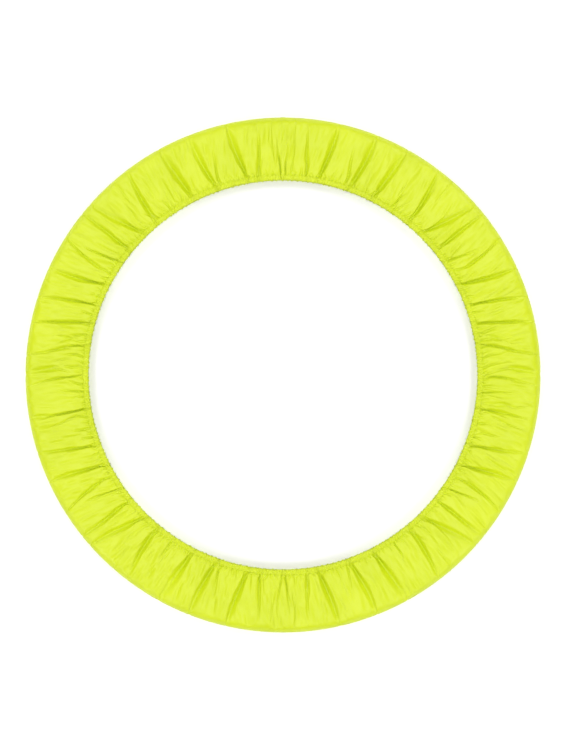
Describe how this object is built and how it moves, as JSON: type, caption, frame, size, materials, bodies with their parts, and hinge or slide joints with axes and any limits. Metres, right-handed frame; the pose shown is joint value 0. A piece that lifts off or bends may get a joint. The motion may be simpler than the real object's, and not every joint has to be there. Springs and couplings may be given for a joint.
{
  "type": "rhythmic hoop",
  "caption": "Rhythmic gymnastics hoop inside a ring-shaped gathered fabric cover, open along its inner edge between elasticated casings.",
  "frame": {"origin": "centre of the ring, on the surface that the cover's back rests on", "axes": "+Z along the ring's axis, out of the front face; +Y from the centre towards the cover's cross seam; the hoop's own tube joint is on -Y"},
  "size_m": [0.8886, 0.8889, 0.021],
  "materials": {
    "cover_fabric": "light coated nylon taffeta, fluorescent yellow-green, soft satin sheen",
    "sewing_thread": "spun polyester sewing thread in the fabric's colour",
    "elastic_webbing": "flat braided elastic, white, matt",
    "hoop_plastic": "smooth extruded plastic tube, white, satin",
    "plug_plastic": "matt extruded dowel",
    "pin_steel": "bright drawn wire",
    "tape_film": "glossy adhesive tape"
  },
  "bodies": {
    "cover": {"sleeve_rim": "cover_fabric", "sleeve_front": "cover_fabric", "sleeve_back": "cover_fabric", "front_casing": "cover_fabric", "back_casing": "cover_fabric", "front_elastic": "elastic_webbing", "back_elastic": "elastic_webbing", "front_casing_stitching": "sewing_thread", "back_casing_stitching": "sewing_thread", "cross_seam_stitching": "sewing_thread", "elastic_joins": "elastic_webbing"},
    "hoop": {"hoop_tube": "hoop_plastic", "joint_plug": "plug_plastic", "joint_pins": "pin_steel", "joint_tape": "tape_film"}
  },
  "joints": [
    {"name": "hoop_turn", "type": "hinge", "parent": "cover", "child": "hoop", "pos_m": [0, 0, 0.0104], "axis": [0, 0, 1], "continuous": true}
  ]
}
